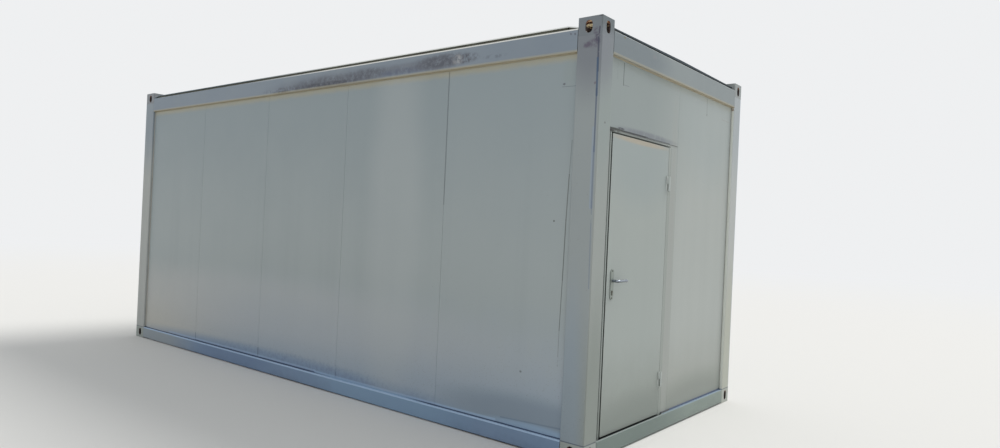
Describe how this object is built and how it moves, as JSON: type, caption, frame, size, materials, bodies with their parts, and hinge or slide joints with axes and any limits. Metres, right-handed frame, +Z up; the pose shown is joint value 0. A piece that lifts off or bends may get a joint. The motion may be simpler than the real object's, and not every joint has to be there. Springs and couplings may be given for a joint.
{
  "type": "shipping container cabin",
  "caption": "Flat-walled steel container cabin with hollow corner castings, recessed sandwich walls and an outward opening door in one end.",
  "frame": {"origin": "on the ground under the middle of the container", "axes": "+X along the length towards the door end, +Y towards the side away from the door, +Z up"},
  "size_m": [6.09, 2.438, 2.8],
  "materials": {
    "casting_paint": "grey paint, chipped, rust inside the holes",
    "post_paint": "light grey paint, chalked and scuffed",
    "bottom_rail_paint": "blue grey paint, splashed with dirt",
    "top_rail_paint": "light grey paint with grime streaks",
    "wall_paint": "light grey coated sheet, dull",
    "galvanised_steel": "dull zinc",
    "floor_board": "bare chipboard",
    "floor_covering": "speckled grey vinyl",
    "ceiling_board": "white coated chipboard",
    "roof_zinc": "weathered dark zinc",
    "sill_steel": "worn steel",
    "door_paint": "light grey paint",
    "seal_rubber": "black rubber",
    "hinge_paint": "dull grey with grease and rust",
    "lock_steel": "satin",
    "key_brass": "satin",
    "lever_chrome": "satin chrome"
  },
  "bodies": {
    "cabin": {"corner_casting_bottom_front_left": "casting_paint", "corner_casting_bottom_front_right": "casting_paint", "corner_casting_bottom_rear_left": "casting_paint", "corner_casting_bottom_rear_right": "casting_paint", "corner_casting_top_front_left": "casting_paint", "corner_casting_top_front_right": "casting_paint", "corner_casting_top_rear_left": "casting_paint", "corner_casting_top_rear_right": "casting_paint", "corner_post_front_left": "post_paint", "corner_post_front_right": "post_paint", "corner_post_rear_left": "post_paint", "corner_post_rear_right": "post_paint", "bottom_rail_left": "bottom_rail_paint", "bottom_rail_right": "bottom_rail_paint", "bottom_rail_front": "bottom_rail_paint", "bottom_rail_rear": "bottom_rail_paint", "top_rail_left": "top_rail_paint", "top_rail_right": "top_rail_paint", "top_rail_front": "top_rail_paint", "top_rail_rear": "top_rail_paint", "underfloor_sheet": "galvanised_steel", "floor_joists": "galvanised_steel", "floor_board": "floor_board", "floor_covering": "floor_covering", "ceiling_board": "ceiling_board", "roof_bearers": "galvanised_steel", "roof_sheet": "roof_zinc", "roof_corner_plates": "roof_zinc", "wall_left_1": "wall_paint", "wall_left_2": "wall_paint", "wall_left_3": "wall_paint", "wall_left_4": "wall_paint", "wall_left_5": "wall_paint", "wall_right_1": "wall_paint", "wall_right_2": "wall_paint", "wall_right_3": "wall_paint", "wall_right_4": "wall_paint", "wall_right_5": "wall_paint", "wall_rear_1": "wall_paint", "wall_rear_2": "wall_paint", "wall_front_plain": "wall_paint", "wall_front_beside_door": "wall_paint", "wall_front_over_door": "wall_paint", "door_sill": "sill_steel", "door_frame": "door_paint", "door_seal": "seal_rubber", "hinge_frame_halves": "hinge_paint"},
    "door": {"door_leaf": "door_paint", "hinge_leaf_halves": "hinge_paint", "lock_plates": "lock_steel", "key_cylinder": "key_brass"},
    "lever": {"lever_handle": "lever_chrome"}
  },
  "joints": [
    {"name": "door_swing", "type": "hinge", "parent": "cabin", "child": "door", "pos_m": [3.0185, -0.143, 0.385], "axis": [0, 0, 1], "range_deg": [0, 165]},
    {"name": "lever_turn", "type": "hinge", "parent": "door", "child": "lever", "pos_m": [3.004, -0.917, 1.137], "axis": [-1, 0, 0], "range_deg": [0, 45], "stiffness_Nm_per_rad": 1.5, "springref_deg": -34.38}
  ]
}
